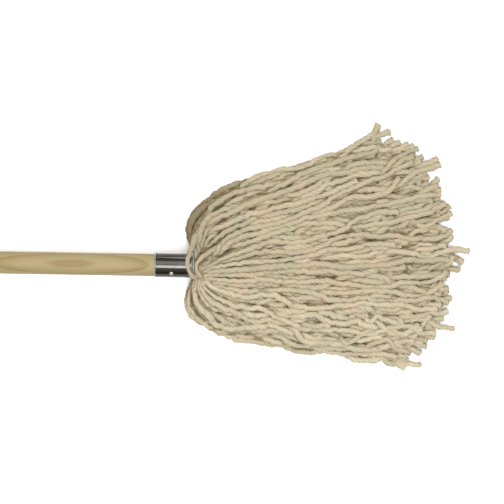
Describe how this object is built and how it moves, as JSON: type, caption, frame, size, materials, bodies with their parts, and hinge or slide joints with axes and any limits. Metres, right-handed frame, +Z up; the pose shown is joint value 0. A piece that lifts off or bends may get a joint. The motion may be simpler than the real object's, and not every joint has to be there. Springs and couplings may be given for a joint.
{
  "type": "string mop",
  "caption": "String mop: a round wooden pole nailed in a flared steel socket, with a limp head of twisted cotton yarn folded over a cross pin.",
  "frame": {"origin": "on the pole's axis, where the pole enters the steel socket", "axes": "+X along the pole towards the yarn, +Z up from the floor that the mop lies on"},
  "size_m": [1.5037, 0.2517, 0.054],
  "materials": {
    "pine": "sanded, unvarnished",
    "plated_steel": "drawn and zinc plated",
    "fastener_steel": "bright drawn",
    "cotton_yarn": "multi-ply twisted yarn"
  },
  "bodies": {
    "yarn": {"yarn_lock_bottom_1": "cotton_yarn", "yarn_lock_bottom_2": "cotton_yarn", "yarn_lock_bottom_3": "cotton_yarn", "yarn_lock_bottom_4": "cotton_yarn", "yarn_lock_bottom_5": "cotton_yarn", "yarn_lock_bottom_6": "cotton_yarn", "yarn_lock_bottom_7": "cotton_yarn", "yarn_lock_bottom_8": "cotton_yarn", "yarn_lock_middle_1": "cotton_yarn", "yarn_lock_middle_2": "cotton_yarn", "yarn_lock_middle_3": "cotton_yarn", "yarn_lock_middle_4": "cotton_yarn", "yarn_lock_middle_5": "cotton_yarn", "yarn_lock_middle_6": "cotton_yarn", "yarn_lock_middle_7": "cotton_yarn", "yarn_lock_middle_8": "cotton_yarn", "yarn_lock_top_1": "cotton_yarn", "yarn_lock_top_2": "cotton_yarn", "yarn_lock_top_3": "cotton_yarn", "yarn_lock_top_4": "cotton_yarn", "yarn_lock_top_5": "cotton_yarn", "yarn_lock_top_6": "cotton_yarn", "yarn_lock_top_7": "cotton_yarn", "yarn_lock_top_8": "cotton_yarn"},
    "handle": {"pole": "pine", "socket": "plated_steel", "pole_nails": "fastener_steel", "cross_pin": "fastener_steel", "yarn_core": "cotton_yarn"}
  },
  "joints": [
    {"name": "handle_tilt", "type": "hinge", "parent": "yarn", "child": "handle", "pos_m": [0.04199, 0, 0.00073], "axis": [0, 1, 0], "range_deg": [0, 75]}
  ]
}
